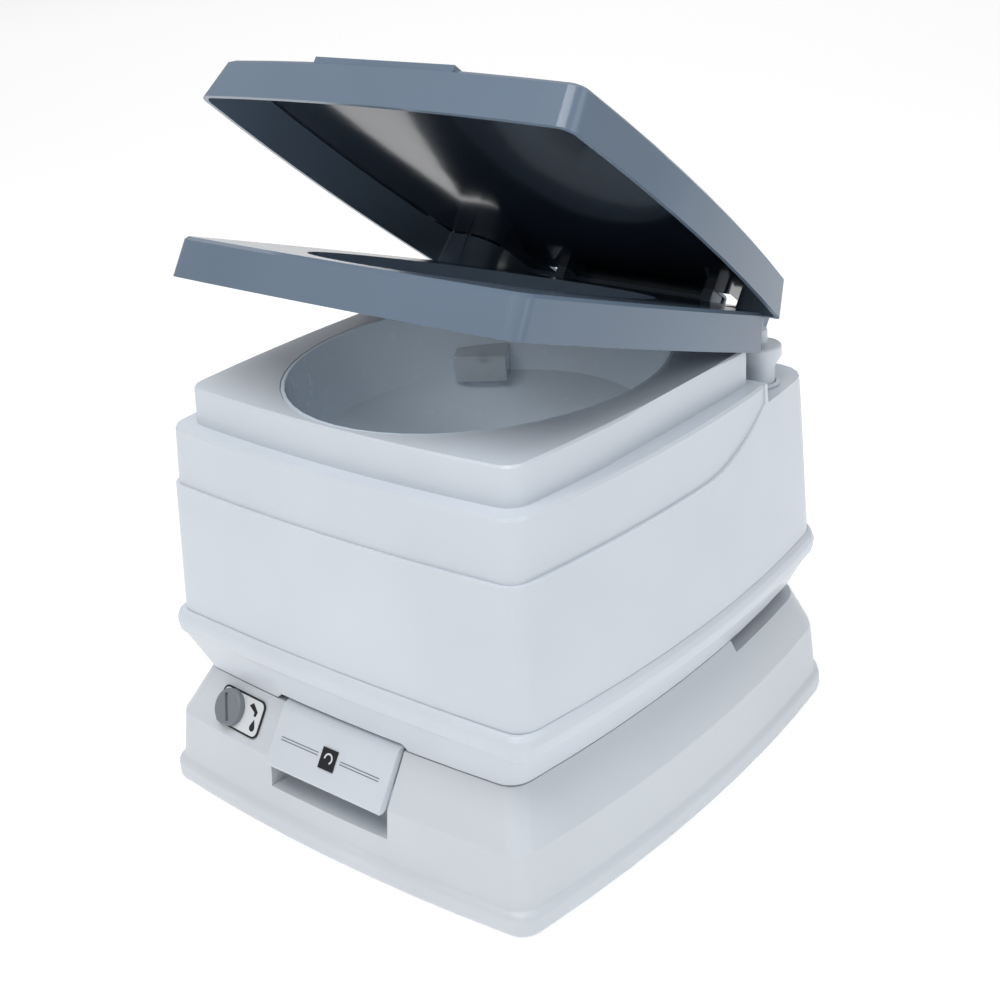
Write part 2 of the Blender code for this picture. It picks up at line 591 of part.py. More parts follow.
def make_water_tank_base():
    inner_low = SKIRT_Z - 0.01
    base = loft("water_tank_base", [
        (bowed_outline(SHOULDER_TOP, -0.6 * MM), SKIRT_Z),
        (bowed_outline(FLANGE, 2.5 * MM), FLANGE_Z),
        (bowed_outline(FLANGE, 0), FLANGE_Z + 1.8 * MM),
        (bowed_outline(FLANGE, -0.8 * MM), FLANGE_Z + 9 * MM),
        (bowed_outline(FLANGE, 0.6 * MM), FLANGE_Z + 13.4 * MM),
        (bowed_outline(FLANGE, 3 * MM), TANK_BOTTOM_Z - GAP)], WHITE, PIECES)
    below = loft("below_floor", [(bowed_outline(SHOULDER_TOP, 2.4 * MM), inner_low),
                                 (bowed_outline(SHOULDER_TOP, 2.4 * MM), SKIRT_Z),
                                 (bowed_outline(SHOULDER_TOP, 1.5 * MM), 0.0985)])
    above = loft("above_floor", [(bowed_outline(SHOULDER_TOP, 1.5 * MM), 0.101),
                                 (bowed_outline(BODY_LOW, WALL + 1 * MM), FLANGE_Z + 6 * MM),
                                 (bowed_outline(BODY_LOW, WALL + 1 * MM), TANK_BOTTOM_Z + 0.01)])
    cut(base, below, above, cylinder("outlet_hole", OUTLET_RADIUS + 0.6 * MM, 0.09, 0.11, 0, OUTLET_Y))
    wide = [(-0.060, -0.24), (0.055, -0.24), (0.055, -0.13), (-0.060, -0.13)]
    narrow = [(-0.0545, -0.24), (0.0515, -0.24), (0.0515, -0.13), (-0.0545, -0.13)]
    arch = loft("handle_arch", [(wide, 0.07), (wide, SKIRT_Z), (narrow, 0.0885)])
    cut(base, arch)


def bowl_rings(inset, low, high):
    """Outline stack of the bowl from the outlet up to the rim."""
    throat = (OUTLET_RADIUS, OUTLET_RADIUS, OUTLET_Y)
    return [(oval(throat, inset), low), (oval(throat, inset), BOWL_THROAT_Z),
            (oval(BOWL_CONE, inset), BOWL_CONE_Z), (oval(BOWL_DISH, inset), BOWL_DISH_Z),
            (oval(BOWL_CREASE, inset), BOWL_CREASE_Z), (oval(BOWL_RIM, inset), high)]


def inlet_frame(back=0.0):
    """Frame at the deflector's front face, or further back; its -Y looks into the bowl."""
    return (Matrix.Translation(INLET) @ Matrix.Rotation(INLET_TURN, 4, 'Z')
            @ Matrix.Translation((0, back, 0)))


def make_bowl():
    bowl = loft("bowl", bowl_rings(0, 0.0950, DECK_Z - GAP), BOWL_BLUE, PIECES)
    cut(bowl, loft("bowl_inside", bowl_rings(BOWL_WALL, 0.0940, DECK_Z + 1 * MM)))
    inlet = cylinder("inlet_hole", 4 * MM, -0.012, 0.012, 0, 0, steps=16)
    inlet.matrix_world = inlet_frame(23 * MM) @ Matrix.Rotation(math.pi / 2, 4, 'X')
    cut(bowl, inlet)


def make_deflector():
    """Clear cover in front of the flush inlet, open at the back and slotted below."""
    cover = box("flush_deflector", (-19 * MM, 0, -9.6 * MM), (19 * MM, 34 * MM, 9.6 * MM), CLEAR,
                bevel=1.2 * MM)
    hollow = box("deflector_hollow", (-17.4 * MM, 1.6 * MM, -8 * MM), (17.4 * MM, 40 * MM, 8 * MM),
                 collection=CUTTERS)
    slot = box("deflector_slot", (-10 * MM, 3 * MM, -12 * MM), (10 * MM, 7.5 * MM, -6 * MM),
               collection=CUTTERS)
    for obj in (cover, hollow, slot):
        obj.matrix_world = inlet_frame()
    boolean(cover, loft("deflector_bound", bowl_rings(BOWL_WALL + GAP, 0.0940, DECK_Z)), 'INTERSECT')
    cut(cover, hollow, slot)


def make_pump():
    at = (PUMP_X, PUMP_Y)
    ring("pump_collar", 11.3 * MM, 14 * MM, SHOULDER_Z + GAP, 0.2446, *at, WHITE, steps=32)
    turned("pump_cylinder", [(11.3 * MM, 0.2392), (13.2 * MM, 0.2392), (13.2 * MM, 0.2262), (8 * MM, 0.2262),
                             (8 * MM, 0.128), (6.7 * MM, 0.128), (6.7 * MM, 0.2282), (11.3 * MM, 0.2282)],
           (*at, 0), NATURAL, steps=32)
    turned("pump_knob", [(0, 0.2810), (4.6 * MM, 0.2810), (5.6 * MM, 0.2800), (5.8 * MM, 0.2708),
                         (14 * MM, 0.270), (15 * MM, 0.2688), (15 * MM, 0.2622), (10.8 * MM, 0.2553),
                         (10.8 * MM, 0.2400), (0, 0.2400)], (*at, 0), WHITE, steps=32)
    cylinder("pump_rod", 2.5 * MM, 0.1525, 0.2397, *at, PIECES, NATURAL, steps=20)
    turned("pump_piston", [(0, 0.1522), (6.2 * MM, 0.1522), (6.2 * MM, 0.1502), (5 * MM, 0.1502),
                           (5 * MM, 0.148), (6.2 * MM, 0.148), (6.2 * MM, 0.146), (0, 0.146)],
           (*at, 0), NATURAL, steps=28)
    ring("piston_ring", 5.3 * MM, 6.4 * MM, 0.1483, 0.1499, *at, RUBBER, steps=28)
    end = inlet_frame(29 * MM).translation
    before = inlet_frame(40 * MM).translation
    path = smooth_path([(PUMP_X - 9.6 * MM, PUMP_Y, 0.150), (0.111, PUMP_Y, 0.150),
                        (0.092, 0.121, 0.172), (0.055, 0.129, 0.198), (0.010, 0.127, 0.2135),
                        (-0.036, 0.112, 0.226), (-0.070, 0.099, 0.2375), before, end])
    swept_rod("flush_tube", path, 4.5 * MM, NATURAL, sides=12)


def make_filler():
    at = (FILLER_X, FILLER_Y)
    ring("filler_neck", 12 * MM, 14.5 * MM, SHOULDER_Z + GAP, 0.252, *at, WHITE, steps=32)
    ring("filler_seal", 11 * MM, 14.4 * MM, 0.2523, 0.2538, *at, RUBBER, steps=32)
    cap = turned("filler_cap", [(0, 0.258), (15.5 * MM, 0.258), (17 * MM, 0.2565), (17 * MM, 0.244),
                                (0, 0.244)], (*at, 0), WHITE, steps=32)
    cut(cap, cylinder("filler_cap_hollow", 14.9 * MM, 0.24, 0.2541, *at, steps=32))
    join(cap, box("filler_cap_grip", (FILLER_X - 12 * MM, FILLER_Y - 2 * MM, 0.257),
                  (FILLER_X + 12 * MM, FILLER_Y + 2 * MM, 0.2615), collection=CUTTERS))


# ---------------------------------------------------------------- seat and lid

def notch_outline(side, corner, radius, inset):
    """Fills the inner corner at (x, y) with a hollow curve, its centre NOTCH_RADIUS away."""
    x, y = corner
    centre_x, centre_y = x + NOTCH_RADIUS, y + NOTCH_RADIUS
    points = [(x - 4 * MM - inset, centre_y), (x - 4 * MM - inset, y - 4 * MM - inset),
              (centre_x, y - 4 * MM - inset)]
    for k in range(9):
        turn = math.pi / 2 * (1 + k / 8)
        points.append((centre_x + radius * math.cos(turn), centre_y - radius * math.sin(turn)))
    return [(side * px, py) for px, py in points]


def cover_form(name, low_level, high_level, heights, tail_half, tail_end, inset, edge):
    """Box cover with bowed sides and a narrower tail that reaches the hinge."""
    corner = {"front_corner": COVER_CORNER, "rear_corner": 4 * MM, "rear_bow": COVER_BOW,
              "rear_spread": COVER_SPREAD}
    low = heights[0] - (0 if inset == 0 else 5 * MM)
    form = loft(name, rounded_rings(low_level, low, heights[1] - inset, high_level, edge, inset, **corner))
    tail = box(name + "_tail", (-tail_half + inset, low_level[2] - 0.02, low),
               (tail_half - inset, tail_end - inset, heights[1] - inset), collection=CUTTERS)
    if inset == 0:
        soft = tail.modifiers.new("edge", 'BEVEL')
        soft.width = 3 * MM
        soft.segments = 3
        soft.limit_method = 'ANGLE'
    join(form, tail)
    for side in (-1, 1):
        corner = (tail_half, low_level[2])
        wall = notch_outline(side, corner, NOTCH_RADIUS + inset, inset)
        rim = notch_outline(side, corner, NOTCH_RADIUS + inset + edge, inset)
        top = heights[1] - inset
        join(form, loft("%s_notch_%d" % (name, side), [(wall, low), (wall, top - edge), (rim, top)]))
    return form


def hinge_empty(name, angle):
    """Empty on the hinge axis, turned so that what hangs on it has its front raised."""
    empty = bpy.data.objects.new(name, None)
    PIECES.objects.link(empty)
    empty.location = (0, HINGE_Y, HINGE_Z)
    empty.rotation_euler = (-angle, 0, 0)
    return empty


def tools_of(obj):
    """Every cutter that an object uses, and theirs in turn."""
    found = []
    for modifier in obj.modifiers:
        if modifier.type == 'BOOLEAN':
            found.append(modifier.object)
            found += tools_of(modifier.object)
    return found


def hang(empty, *objects):
    """Parents pieces modelled closed, and their cutters, to the empty on their hinge."""
    for piece in objects:
        for obj in [piece] + tools_of(piece):
            obj.parent = empty
            obj.matrix_parent_inverse = Matrix.Translation((0, -HINGE_Y, -HINGE_Z))


def make_seat():
    seat = cover_form("seat", SEAT_LOW, SEAT_HIGH, SEAT_Z, SEAT_TAIL_HALF, SEAT_TAIL_END, 0, 2 * MM)
    place(seat, SLATE, PIECES)
    seat.hide_render = False
    seat.display_type = 'TEXTURED'
    cut(seat, cover_form("seat_inside", SEAT_LOW, SEAT_HIGH, SEAT_Z, SEAT_TAIL_HALF, SEAT_TAIL_END,
                         COVER_WALL, 1 * MM))
    lip = loft("seat_lip", [(oval(SEAT_HOLE, -COVER_WALL), 0.266), (oval(SEAT_HOLE, -COVER_WALL), 0.281)])
    hole = loft("seat_hole", [(oval(SEAT_HOLE, 0), 0.25), (oval(SEAT_HOLE, 0), 0.3)])
    join(seat, lip)
    cut(seat, hole)
    for side in (-1, 1):
        low, high = sorted((side * (LID_ARM_X[0] - 2 * MM), side * (LUG_X[1] + 1.4 * MM)))
        cut(seat, box("seat_notch_%d" % side, (low, HINGE_Y - 8.5 * MM, 0.25), (high, 0.17, 0.3),
                      collection=CUTTERS))
        low, high = sorted((side * SEAT_ARM_X[0], side * SEAT_ARM_X[1]))
        join(seat, box("seat_arm_%d" % side, (low, HINGE_Y - ARM_FRONT, HINGE_Z - 5.4 * MM),
                       (high, HINGE_Y + 6.5 * MM, 0.281), collection=CUTTERS))
    cut(seat, across_x("seat_bore", PIN_HOLE, -0.12, 0.12))
    hang(hinge_empty("seat_hinge", SEAT_ANGLE), seat)


def make_lid():
    lid = cover_form("lid", LID_LOW, LID_HIGH, LID_Z, LID_TAIL_HALF, LID_TAIL_END, 0, 2.5 * MM)
    place(lid, SLATE, PIECES)
    lid.hide_render = False
    lid.display_type = 'TEXTURED'
    pad = box("lid_pad", (-LID_PAD_HALF, LID_HIGH[1] - 5.5 * MM, LID_Z[1] - 6 * MM),
              (LID_PAD_HALF, LID_HIGH[1] + 50 * MM, LID_Z[1] + LID_PAD_HEIGHT), collection=CUTTERS)
    join(lid, pad)
    cut(lid, cover_form("lid_inside", LID_LOW, LID_HIGH, LID_Z, LID_TAIL_HALF, LID_TAIL_END,
                        COVER_WALL, 1 * MM))
    for side in (-1, 1):
        low, high = sorted((side * (LUG_X[0] - 1 * MM), side * (LUG_X[1] + 1.4 * MM)))
        cut(lid, box("lid_slot_%d" % side, (low, HINGE_Y - 1 * MM, 0.25), (high, 0.17, 0.3),
                     collection=CUTTERS))
        low, high = sorted((side * LID_ARM_X[0], side * LID_ARM_X[1]))
        join(lid, box("lid_arm_%d" % side, (low, HINGE_Y - ARM_FRONT, HINGE_Z - 6 * MM),
                      (high, HINGE_Y + ARM_REAR, 0.291), collection=CUTTERS))
    cut(lid, across_x("lid_bore", PIN_HOLE, -0.12, 0.12))
    hang(hinge_empty("lid_hinge", LID_ANGLE), lid)


def make_hinge_pins():
    for side, label in ((-1, "left"), (1, "right")):
        low, high = sorted((side * (LID_ARM_X[0] - 1.5 * MM), side * (SEAT_ARM_X[1] + 2 * MM)))
        across_x("hinge_pin_" + label, PIN_RADIUS, low, high, NATURAL, PIECES)


make_waste_tank()
make_vent()
make_slide_valve()
make_spout()
make_water_tank()
make_water_tank_base()
make_bowl()
make_deflector()
make_pump()
make_filler()
make_seat()
make_lid()
make_hinge_pins()

for piece in PIECES.objects:
    if piece.type == 'MESH':
        piece.data.shade_smooth()
        piece.data.set_sharp_from_angle(angle=math.radians(32))
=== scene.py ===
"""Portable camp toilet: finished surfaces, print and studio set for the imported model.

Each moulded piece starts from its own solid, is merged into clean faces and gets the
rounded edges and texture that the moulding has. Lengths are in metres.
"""
import json
import math

import bmesh
import bpy
from mathutils import Matrix, Vector


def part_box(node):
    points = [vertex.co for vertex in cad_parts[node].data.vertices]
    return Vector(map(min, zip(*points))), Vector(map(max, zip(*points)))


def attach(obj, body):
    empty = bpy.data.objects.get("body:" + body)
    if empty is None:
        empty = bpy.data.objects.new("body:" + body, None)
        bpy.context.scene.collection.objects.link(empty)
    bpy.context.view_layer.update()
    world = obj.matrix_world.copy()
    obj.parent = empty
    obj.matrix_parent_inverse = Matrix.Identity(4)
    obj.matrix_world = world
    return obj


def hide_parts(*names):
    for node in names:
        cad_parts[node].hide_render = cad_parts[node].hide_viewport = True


MM = 0.001

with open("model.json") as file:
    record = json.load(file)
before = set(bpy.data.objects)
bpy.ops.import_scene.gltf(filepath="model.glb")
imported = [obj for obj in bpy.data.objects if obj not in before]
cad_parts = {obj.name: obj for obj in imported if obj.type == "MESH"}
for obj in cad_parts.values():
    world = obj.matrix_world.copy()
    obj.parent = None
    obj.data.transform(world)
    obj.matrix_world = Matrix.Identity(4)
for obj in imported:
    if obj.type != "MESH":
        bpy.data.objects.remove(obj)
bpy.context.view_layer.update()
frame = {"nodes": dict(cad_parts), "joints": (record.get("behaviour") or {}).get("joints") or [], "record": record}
NODES = frame["nodes"]

# Shape of the finish
LID_ANGLE = math.radians(37.7)      # how far the lid is raised at rest
LID_PANEL_DEPTH = 20 * MM           # the lid's inner panel lies this far over its hinge
MERGE = 0.02 * MM
FLAT_DEGREES = 0.9                  # faces nearer than this to one plane become one
SMOOTH_DEGREES = 35.0
FOOT_BEAD_TOP = 18 * MM
CREASE_Z = 51 * MM                  # fold between the waste tank's wall and its shoulder
POCKET_HALF = 52 * MM               # half width of the handle's recess, where the fold stops

# Print: every plate lies on a thin node and stands proud by its thickness
PRINT_THICK = 0.1 * MM
FIELD_THICK = 0.12 * MM
OVER_FIELD = 0.14 * MM
PLUG_X = -8.5 * MM                  # the vent plug's axis from the decal's middle
RULE_HEIGHTS = (-0.4 * MM, 1.4 * MM)
RULE_SPAN = (9.5 * MM, 43 * MM)
RULE_WIDTH = 0.55 * MM
HANDLE_FACE = -0.72 * MM            # the handle's slope, from the badge's face


# ------------------------------------------------------------------ shader node groups

def new_group(name, inputs, outputs):
    """An empty shader group with float, colour or vector sockets."""
    group = bpy.data.node_groups.new(name, 'ShaderNodeTree')
    for label, kind, value in inputs:
        socket = group.interface.new_socket(label, in_out='INPUT', socket_type=kind)
        socket.default_value = value
    for label, kind in outputs:
        group.interface.new_socket(label, in_out='OUTPUT', socket_type=kind)
    return group, group.nodes.new('NodeGroupInput'), group.nodes.new('NodeGroupOutput')


def add(tree, kind, links=None, **settings):
    """One node, its settings, and the sockets or values that feed it."""
    node = tree.nodes.new(kind)
    for key, value in settings.items():
        setattr(node, key, value)
    for key, source in (links or {}).items():
        if isinstance(source, bpy.types.NodeSocket):
            tree.links.new(source, node.inputs[key])
        else:
            node.inputs[key].default_value = source
    return node


def moulded_skin_group():
    """Fine orange-peel grain, slow tone drift and a few scuffs of moulded plastic."""
    group, entry, exit_ = new_group(
        "moulded_skin",
        [("Grain Scale", 'NodeSocketFloat', 900.0), ("Grain Depth", 'NodeSocketFloat', 0.2),
         ("Drift", 'NodeSocketFloat', 0.03), ("Colour", 'NodeSocketColor', (0.8, 0.8, 0.8, 1)),
         ("Roughness", 'NodeSocketFloat', 0.4)],
        [("Colour", 'NodeSocketColor'), ("Roughness", 'NodeSocketFloat'),
         ("Normal", 'NodeSocketVector')])
    place = add(group, 'ShaderNodeTexCoord').outputs["Object"]
    grain = add(group, 'ShaderNodeTexNoise', {"Vector": place, "Scale": entry.outputs["Grain Scale"],
                                              "Detail": 3.0, "Roughness": 0.6})
    slow = add(group, 'ShaderNodeTexNoise', {"Vector": place, "Scale": 9.0, "Detail": 2.0})
    waves = add(group, 'ShaderNodeTexNoise', {"Vector": place, "Scale": 26.0, "Detail": 1.0})
    scuff = add(group, 'ShaderNodeTexNoise', {"Vector": place, "Scale": 60.0, "Detail": 6.0,
                                              "Roughness": 0.75})
    scuff_mask = add(group, 'ShaderNodeMapRange', {"Value": scuff.outputs["Fac"], "From Min": 0.58,
                                                   "From Max": 0.74, "To Min": 0.0, "To Max": 1.0})
    tone = add(group, 'ShaderNodeMapRange', {"Value": slow.outputs["Fac"], "From Min": 0.3,
                                             "From Max": 0.7, "To Min": -1.0, "To Max": 1.0})
    amount = add(group, 'ShaderNodeMath', {0: tone.outputs["Result"], 1: entry.outputs["Drift"]},
                 operation='MULTIPLY')
    value = add(group, 'ShaderNodeMath', {0: amount.outputs[0], 1: 1.0}, operation='ADD')
    tinted = add(group, 'ShaderNodeHueSaturation', {"Color": entry.outputs["Colour"],
                                                    "Value": value.outputs[0]})
    rough = add(group, 'ShaderNodeMath', {0: scuff_mask.outputs["Result"], 1: 0.07,
                                          2: entry.outputs["Roughness"]}, operation='MULTIPLY_ADD')
    soft = add(group, 'ShaderNodeBump', {"Height": waves.outputs["Fac"], "Strength": 0.12,
                                         "Distance": 0.0012})
    fine = add(group, 'ShaderNodeBump', {"Height": grain.outputs["Fac"], "Distance": 0.00012,
                                         "Strength": entry.outputs["Grain Depth"],
                                         "Normal": soft.outputs["Normal"]})
    group.links.new(tinted.outputs["Color"], exit_.inputs["Colour"])
    group.links.new(rough.outputs[0], exit_.inputs["Roughness"])
    group.links.new(fine.outputs["Normal"], exit_.inputs["Normal"])
    return group


SKIN = moulded_skin_group()


def plastic(name, colour, roughness, grain=0.2, scale=900.0, drift=0.03, coat=0.0, alpha=1.0,
            subsurface=0.0):
    """A moulded plastic: the skin group feeds one Principled shader."""
    material = bpy.data.materials.new(name)
    material.use_nodes = True
    tree = material.node_tree
    shader = tree.nodes["Principled BSDF"]
    skin = add(tree, 'ShaderNodeGroup', node_tree=SKIN)
    skin.inputs["Grain Scale"].default_value = scale
    skin.inputs["Grain Depth"].default_value = grain
    skin.inputs["Drift"].default_value = drift
    skin.inputs["Colour"].default_value = (*colour, 1)
    skin.inputs["Roughness"].default_value = roughness
    tree.links.new(skin.outputs["Colour"], shader.inputs["Base Color"])
    tree.links.new(skin.outputs["Roughness"], shader.inputs["Roughness"])
    tree.links.new(skin.outputs["Normal"], shader.inputs["Normal"])
    shader.inputs["Coat Weight"].default_value = coat
    shader.inputs["Coat Roughness"].default_value = 0.06
    shader.inputs["IOR"].default_value = 1.49
    shader.inputs["Alpha"].default_value = alpha
    if subsurface:
        shader.inputs["Subsurface Weight"].default_value = subsurface
        shader.inputs["Subsurface Scale"].default_value = 0.004
        shader.inputs["Subsurface Radius"].default_value = (1.0, 0.95, 0.9)
    return material


WHITE = plastic("white_polyethylene", (0.66, 0.705, 0.76), 0.34, grain=0.22, coat=0.12,
                subsurface=0.1)
WHITE_TANK = plastic("white_blow_moulding", (0.64, 0.675, 0.715), 0.40, grain=0.3, coat=0.06,
                     subsurface=0.1)
# The bowl is the deck's white plastic; its lighter blue tint is a painted reflection of the sky
BOWL_PAINTED_REFLECTION = plastic("bowl_gloss_painted_reflection", (0.80, 0.90, 0.99), 0.26, grain=0.08, coat=0.15)
SLATE = plastic("slate_gloss", (0.140, 0.190, 0.255), 0.20, grain=0.08, scale=1400.0, drift=0.05,
                coat=0.2)
# The lid's slate made near black for its inner panel: painted shade and a painted dark reflection on the same
# plastic
SLATE_PAINTED_SHADE = plastic("slate_gloss_painted_shade", (0.012, 0.016, 0.026), 0.12, grain=0.1, coat=0.3)
GREY = plastic("plug_grey", (0.20, 0.22, 0.24), 0.5, grain=0.5)
CLEAR = plastic("clear_styrene", (0.80, 0.84, 0.88), 0.08, grain=0.05, alpha=0.4)
PRINT = plastic("black_print", (0.012, 0.012, 0.016), 0.42, grain=0.1)
PRINT_WHITE = plastic("white_print", (0.74, 0.76, 0.78), 0.4, grain=0.1)
PRINT_GREY = plastic("grey_print", (0.13, 0.14, 0.16), 0.5, grain=0.1)
RUBBER = plastic("seal_rubber", (0.02, 0.02, 0.022), 0.7, grain=0.6, scale=1600.0)
NATURAL = plastic("natural_polypropylene", (0.66, 0.68, 0.69), 0.42, grain=0.25, subsurface=0.2)


# ------------------------------------------------------------------ modelling helpers

def deselect_all():
    if bpy.context.object and bpy.context.object.mode != 'OBJECT':
        bpy.ops.object.mode_set(mode='OBJECT')
    bpy.ops.object.select_all(action='DESELECT')


def edit(obj):
    """Enters edit mode on one object with nothing selected, in edge mode."""
    deselect_all()
    obj.select_set(True)
    bpy.context.view_layer.objects.active = obj
    bpy.ops.object.mode_set(mode='EDIT')
    bpy.ops.mesh.select_mode(type='EDGE')
    bpy.ops.mesh.select_all(action='DESELECT')


def leave():
    bpy.ops.object.mode_set(mode='OBJECT')


def pick_edges(obj, test, sharpness):
    """Selects the edges that turn by more than sharpness degrees and pass the test."""
    mesh = bmesh.from_edit_mesh(obj.data)
    count = 0
    for edge in mesh.edges:
        edge.select_set(False)
    for edge in mesh.edges:
        if len(edge.link_faces) != 2:
            continue
        if math.degrees(edge.calc_face_angle(0.0)) < sharpness:
            continue
        middle = (edge.verts[0].co + edge.verts[1].co) / 2
        if test(middle, edge):
            edge.select_set(True)
            count += 1
    mesh.select_flush_mode()
    bmesh.update_edit_mesh(obj.data)
    return count


def round_edges(obj, width, test=lambda middle, edge: True, sharpness=24.0, segments=3):
    edit(obj)
    if pick_edges(obj, test, sharpness):
        bpy.ops.mesh.bevel(offset=width, offset_type='OFFSET', segments=segments, profile=0.5,
                           affect='EDGES', clamp_overlap=True, loop_slide=True)
    leave()


def smooth(obj):
    """Smooth shading except at sharp edges, with face-weighted normals."""
    deselect_all()
    obj.select_set(True)
    bpy.context.view_layer.objects.active = obj
    bpy.ops.object.shade_smooth_by_angle(angle=math.radians(SMOOTH_DEGREES))
    weighted = obj.modifiers.new("weighted", 'WEIGHTED_NORMAL')
    weighted.keep_sharp = True
    bpy.ops.object.modifier_apply(modifier=weighted.name)


def finish_piece(obj, body, material, slot, *replaced):
    """Gives a finished piece its material and body, and hides the nodes that it stands for."""
    obj.data.materials.clear()
    obj.data.materials.append(material)
    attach(obj, body)
    if replaced:
        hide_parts(*replaced)
    return obj


def clean_copy(node, name):
    """The node's solid as a new object with doubles merged and flat stretches made one face."""
    obj = bpy.data.objects.new(name, NODES[node].data.copy())
    bpy.context.scene.collection.objects.link(obj)
    edit(obj)
    bpy.ops.mesh.select_all(action='SELECT')
    bpy.ops.mesh.remove_doubles(threshold=MERGE)
    bpy.ops.mesh.dissolve_limited(angle_limit=math.radians(FLAT_DEGREES))
    leave()
    return obj


def material_where(obj, material, test):
    """Adds a material to the faces whose centre and normal pass the test."""
    obj.data.materials.append(material)
    index = len(obj.data.materials) - 1
    for face in obj.data.polygons:
        if test(face.center, face.normal):
            face.material_index = index


def body_of(node):
    """The body that a CAD node belongs to."""
    for body, members in frame["record"]["behaviour"]["bodies"].items():
        if node in members:
            return body
    raise KeyError(node)


def joint(name):
    return next(j for j in frame["joints"] if j["name"] == name)


SLOT_OF = {entry["node"]: entry["material_slot"] for entry in frame["record"]["subparts"]}


def shell(node, material, width, sharpness=24.0, segments=3, rules=()):
    """A rounded copy of a solid that stands for it; rules are (width, test) done first."""
    obj = clean_copy(node, node + "_shell")
    for rule_width, test in rules:
        round_edges(obj, rule_width, test, sharpness, segments + 1)
    if width:
        round_edges(obj, width, sharpness=sharpness + 8, segments=segments)
    smooth(obj)
    return finish_piece(obj, body_of(node), material, SLOT_OF[node], node)


def plate(name, loops, low, thickness, frame_matrix, material, body, slot):
    """Flat plate from closed loops of (x, y) points, inner loops being holes."""
    curve = bpy.data.curves.new(name, 'CURVE')
    curve.dimensions = '2D'
    curve.fill_mode = 'BOTH'
    curve.extrude = thickness / 2
    for loop in loops:
        spline = curve.splines.new('POLY')
        spline.points.add(len(loop) - 1)
        for point, (x, y) in zip(spline.points, loop):
            point.co = (x, y, 0, 1)
        spline.use_cyclic_u = True
    obj = bpy.data.objects.new(name, curve)
    bpy.context.scene.collection.objects.link(obj)
    obj.matrix_world = frame_matrix @ Matrix.Translation((0, 0, low + thickness / 2))
    deselect_all()
    obj.select_set(True)
    bpy.context.view_layer.objects.active = obj
    bpy.ops.object.convert(target='MESH')
    bpy.ops.object.transform_apply(location=True, rotation=True, scale=True)
    return finish_piece(bpy.context.object, body, material, slot)


def rounded(x0, x1, y0, y1, radius, steps=5):
    """Rounded rectangle as one loop of points."""
    points = []
    for cx, cy, start in ((x1 - radius, y0 + radius, -90), (x1 - radius, y1 - radius, 0),
                          (x0 + radius, y1 - radius, 90), (x0 + radius, y0 + radius, 180)):
        for k in range(steps + 1):
            turn = math.radians(start + 90 * k / steps)
            points.append((cx + radius * math.cos(turn), cy + radius * math.sin(turn)))
    return points


def circle(cx, cy, radius, steps=40, start=0, sweep=360):
    """Circle or arc as one loop of points; an arc includes both its ends."""
    turns = [math.radians(start + sweep * k / steps) for k in range(steps + (sweep < 360))]
    return [(cx + radius * math.cos(t), cy + radius * math.sin(t)) for t in turns]


# ------------------------------------------------------------------ tanks

def level_edge(edge):
    return abs(edge.verts[0].co.z - edge.verts[1].co.z) < 1.5 * MM


def make_waste_tank():
    def bead(middle, edge):
        return middle.z < FOOT_BEAD_TOP

    def fold(middle, edge):
        at_crease = abs(middle.z - CREASE_Z) < 2 * MM
        return level_edge(edge) and at_crease and abs(middle.x) > POCKET_HALF

    shell("waste_tank", WHITE_TANK, 1.1 * MM, sharpness=12,
          rules=[(2.0 * MM, bead), (3.5 * MM, fold)])


def make_water_tank():
    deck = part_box("bowl")[1].z

    def deck_edge(middle, edge):
        return middle.z > deck - 3 * MM and level_edge(edge)

    shell("water_tank", WHITE, 0.8 * MM, sharpness=14, rules=[(1.6 * MM, deck_edge)])


# ------------------------------------------------------------------ lid

def make_lid():
    """The lid, whose inner panel is painted near black, darker than its outside, as painted shade and painted dark
    reflection.
    """
    lid = shell("lid", SLATE, 1.0 * MM, sharpness=16, segments=4)
    closed = Matrix.Rotation(LID_ANGLE, 4, 'X')
    hinge = Vector(joint("lid_hinge")["pos_m"])

    def inner_panel(centre, normal):
        turned = closed @ normal
        height = (closed @ (centre - hinge)).z
        return turned.z < -0.55 and height > LID_PANEL_DEPTH

    # the inner panel takes the near-black painted shade
    material_where(lid, SLATE_PAINTED_SHADE, inner_panel)


# ------------------------------------------------------------------ print and small detail

def plane_of(node, outward):
    """Frame on the flat outer face of a thin node: z outwards, x level, origin at its middle."""
    mesh = NODES[node].data
    face = max(mesh.polygons, key=lambda f: (f.normal.dot(outward) > 0.9) * f.area)
    normal = face.normal.copy()
    level = Vector((0, 0, 1)).cross(normal).normalized()
    rise = normal.cross(level)
    reach = [v.co for v in mesh.vertices]
    top = max(c.dot(normal) for c in reach)
    spans = [(min(c.dot(a) for c in reach), max(c.dot(a) for c in reach)) for a in (level, rise)]
    origin = level * sum(spans[0]) / 2 + rise * sum(spans[1]) / 2 + normal * top
    return Matrix.Translation(origin) @ Matrix((level, rise, normal)).transposed().to_4x4()


def in_mm(*points):
    return [(x * MM, y * MM) for x, y in points]


def make_decal():
    """White field with a black border and a hole for the plug; on it a spout and a drop."""
    face = plane_of("vent_decal", Vector((-0.06, -0.85, 0.53)))
    where = (face, PRINT, "waste_tank", "black_print")
    field = rounded(-20.6 * MM, 20.6 * MM, -11.7 * MM, 11.7 * MM, 4 * MM)
    plate("decal_field", [field, circle(PLUG_X, 0, 10.8 * MM)], 0, FIELD_THICK, face, PRINT_WHITE,
          "waste_tank", "black_print")
    drop = circle(15.2 * MM, -6.3 * MM, 2.5 * MM, 14, 150, 240) + in_mm((15.2, -0.6))
    plate("decal_drop", [drop], OVER_FIELD, PRINT_THICK, *where)
    spout = in_mm((7.2, 6.6), (10.4, 9.2), (16.4, 4.6), (15.6, 1.2), (13.6, 1.2), (13.4, 3.6))
    plate("decal_spout", [spout], OVER_FIELD, PRINT_THICK, *where)


